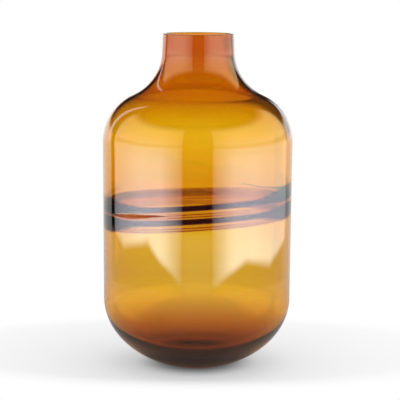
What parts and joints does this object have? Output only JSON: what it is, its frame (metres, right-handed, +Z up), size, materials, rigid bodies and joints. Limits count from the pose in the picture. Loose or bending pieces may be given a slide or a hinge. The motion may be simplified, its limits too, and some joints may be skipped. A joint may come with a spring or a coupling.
{
  "type": "glass vase",
  "caption": "Tall blown amber glass vase with a round base, straight side, rounded shoulder and short neck, and dark glass trails wound flush round its belly; holds cut stems in water.",
  "frame": {"origin": "on the floor plane, at the middle of the ground foot ring", "axes": "+Z up along the vase's axis, from the foot to the mouth; -Y towards the front, where the lower turn of the ribbon passes; +X to the right seen from the front"},
  "size_m": [0.205, 0.205, 0.36],
  "materials": {
    "amber_glass": "clear, glossy, fire-polished amber glass",
    "dark_trail_glass": "nearly black brown glass, flush with the wall",
    "brown_thread_glass": "translucent red-brown glass, flush with the wall"
  },
  "bodies": {
    "root": {"vase_body": "amber_glass", "dark_ribbon": "dark_trail_glass", "upper_thread": "brown_thread_glass", "lower_thread": "brown_thread_glass"}
  },
  "joints": []
}
